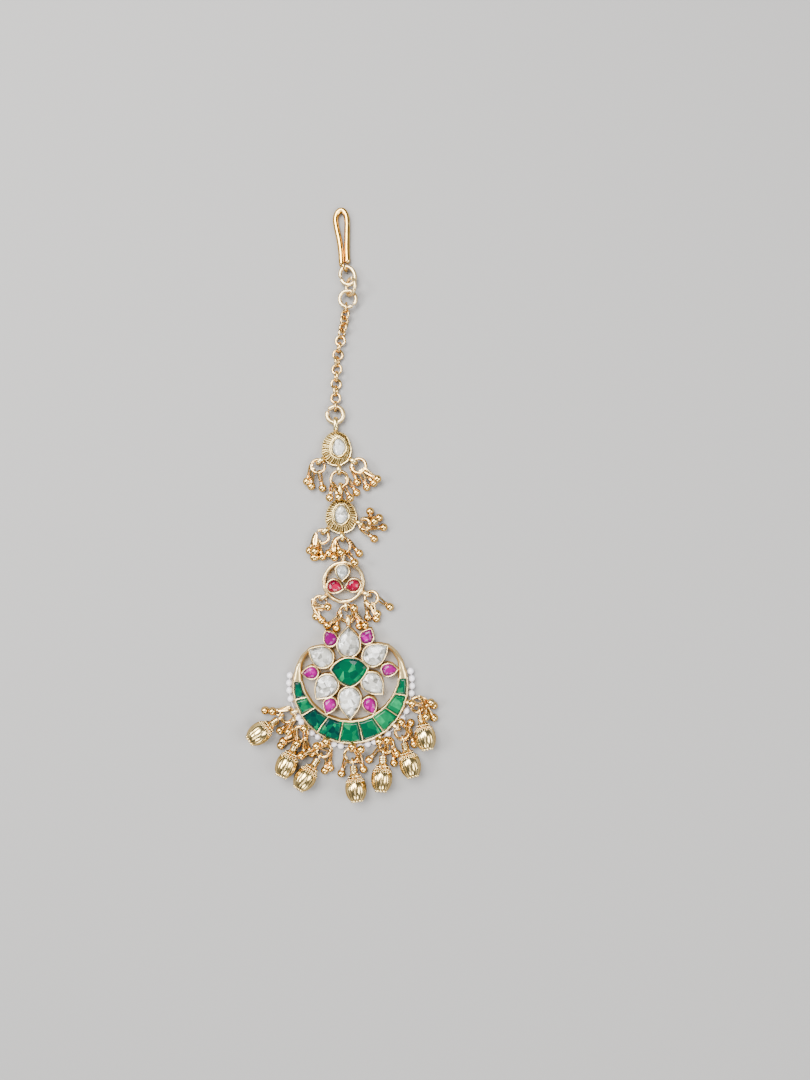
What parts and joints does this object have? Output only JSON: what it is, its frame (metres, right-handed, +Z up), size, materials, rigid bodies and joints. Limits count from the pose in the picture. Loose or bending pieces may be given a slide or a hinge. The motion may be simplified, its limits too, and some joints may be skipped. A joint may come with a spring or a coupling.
{
  "type": "maang tikka forehead ornament",
  "caption": "Gold forehead ornament worn along the hair parting: hair hook, fine chain, stone-set motifs with bead sprays, and a crescent-and-flower pendant with pearls and fluted drops.",
  "frame": {"origin": "centre of the ornament's outline on the surface it lies on", "axes": "+Y along the ornament from the pendant towards the hair hook, +X to the right seen from the front, +Z up out of the resting surface, towards the viewer"},
  "size_m": [0.049, 0.153, 0.0056],
  "materials": {
    "pale_gold": "polished pale champagne gold plating",
    "gold": "polished warm antique gold plating",
    "clear_stone": "foil-backed flat-cut clear stone",
    "red_stone": "foil-backed raspberry red stone",
    "pink_stone": "foil-backed magenta stone",
    "green_stone": "faceted emerald green stone",
    "pearl": "lustrous white pearl bead"
  },
  "bodies": {
    "root": {"hair_hook": "gold", "hook_ring_oval": "pale_gold", "link_ring_upper": "pale_gold", "link_ring_lower": "pale_gold", "chain": "gold", "chain_end_ring": "pale_gold", "upper_motif_setting": "pale_gold", "upper_motif_stone": "clear_stone", "upper_spray_left": "gold", "upper_spray_right": "gold", "upper_spray_centre": "gold", "middle_motif_setting": "pale_gold", "middle_motif_stone": "clear_stone", "middle_spray_left": "gold", "middle_spray_right": "gold", "middle_spray_centre": "gold", "round_motif_frame": "pale_gold", "round_motif_clear_stone": "clear_stone", "round_motif_red_stone_left": "red_stone", "round_motif_red_stone_right": "red_stone", "round_spray_left": "gold", "round_spray_right": "gold", "round_spray_centre": "gold", "pendant_frame": "pale_gold", "centre_stone": "green_stone", "clear_petal_1": "clear_stone", "clear_petal_2": "clear_stone", "clear_petal_3": "clear_stone", "clear_petal_4": "clear_stone", "clear_petal_5": "clear_stone", "clear_petal_6": "clear_stone", "pink_petal_1": "pink_stone", "pink_petal_2": "pink_stone", "pink_petal_3": "pink_stone", "pink_petal_4": "pink_stone", "pink_petal_5": "pink_stone", "pink_petal_6": "pink_stone", "crescent_stone_1": "green_stone", "crescent_stone_2": "green_stone", "crescent_stone_3": "green_stone", "crescent_stone_4": "green_stone", "crescent_stone_5": "green_stone", "crescent_stone_6": "green_stone", "crescent_stone_7": "green_stone", "crescent_stone_8": "green_stone", "crescent_stone_9": "green_stone", "pearl_string": "pearl", "fluted_drop_1": "pale_gold", "fluted_drop_2": "pale_gold", "fluted_drop_3": "pale_gold", "fluted_drop_4": "pale_gold", "fluted_drop_5": "pale_gold", "fluted_drop_6": "pale_gold", "fluted_drop_7": "pale_gold", "drop_spray_a": "gold", "drop_spray_b": "gold", "drop_spray_c": "gold", "drop_spray_d": "gold", "drop_spray_e": "gold", "drop_spray_f": "gold"}
  },
  "joints": []
}
